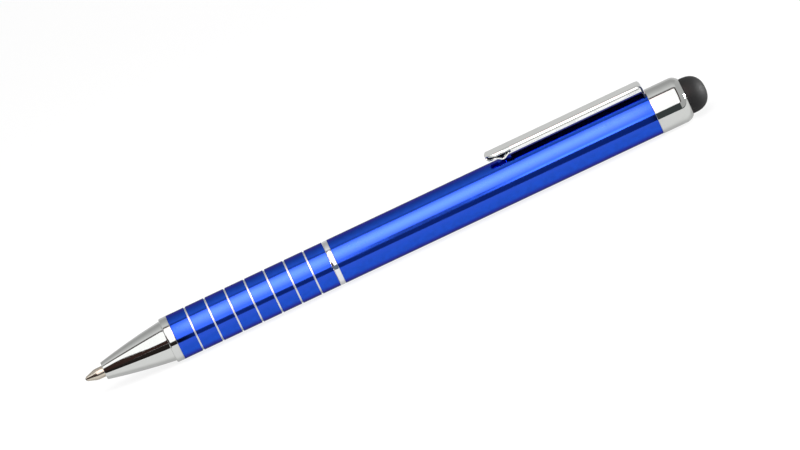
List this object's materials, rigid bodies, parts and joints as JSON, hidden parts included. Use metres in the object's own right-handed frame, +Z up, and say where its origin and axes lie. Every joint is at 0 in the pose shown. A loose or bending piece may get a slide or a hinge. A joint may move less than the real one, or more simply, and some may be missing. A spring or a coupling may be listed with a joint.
{
  "type": "stylus pen",
  "caption": "Slim twist-action ballpoint pen with a rubber stylus dome at its rear end, a folded pocket clip, a tapered bright nose and a grip with fine turned rings.",
  "frame": {"origin": "on the pen's axis at the rear end of the lower barrel, where the two halves turn against each other", "axes": "+X along the pen towards the stylus, so the writing point is at -X; +Z up, with the clip on top; +Y across the pen, away from the picture's camera"},
  "size_m": [0.1372, 0.0096, 0.0117],
  "materials": {
    "bright_plate": "polished bright plating",
    "blue_anodised": "glossy blue anodised coat",
    "brass": "turned brass",
    "nickel_silver": "fine turned nickel silver",
    "plain_steel": "drawn steel",
    "spring_wire": "drawn spring wire",
    "ball_steel": "polished hard ball",
    "white_plastic": "plain moulded bearing plastic",
    "black_plastic": "plain moulded plastic",
    "black_rubber": "satin conductive rubber",
    "ink": "thick writing ink",
    "grease": "clear amber grease"
  },
  "bodies": {
    "front": {"nose_cone": "bright_plate", "lower_barrel": "blue_anodised", "coupling": "brass", "drag_ring": "black_rubber", "guide_tube": "plain_steel", "thrust_washer": "plain_steel", "retainer": "plain_steel", "return_spring": "spring_wire"},
    "upper": {"centre_ring": "bright_plate", "upper_barrel": "blue_anodised", "bearing_bush": "white_plastic", "cam_sleeve": "white_plastic", "clip_plug": "black_plastic", "rear_cap": "bright_plate", "stylus_core": "brass", "stylus_dome": "black_rubber"},
    "clip": {"clip": "bright_plate"},
    "refill": {"follower": "white_plastic", "refill_tube": "plain_steel", "ink_column": "ink", "grease_plug": "grease", "refill_point": "nickel_silver"},
    "ball": {"writing_ball": "ball_steel"}
  },
  "joints": [
    {"name": "twist", "type": "hinge", "parent": "front", "child": "upper", "pos_m": [0, 0, 0], "axis": [1, 0, 0], "range_deg": [0, 180]},
    {"name": "refill_slide", "type": "slide", "parent": "front", "child": "refill", "axis": [1, 0, 0], "range_m": [0, 0.0052], "deforming": ["return_spring"]},
    {"name": "ball_roll", "type": "hinge", "parent": "refill", "child": "ball", "pos_m": [-0.054, 0, 0], "axis": [0, 1, 0], "continuous": true},
    {"name": "clip_flex", "type": "hinge", "parent": "upper", "child": "clip", "pos_m": [0.071, 0, 0.0035], "axis": [0, 1, 0], "range_deg": [0, 5], "stiffness_Nm_per_rad": 3.5}
  ],
  "couplings": [
    {"joint": "twist", "follows": "refill_slide", "rad_per_m": 604.1}
  ]
}
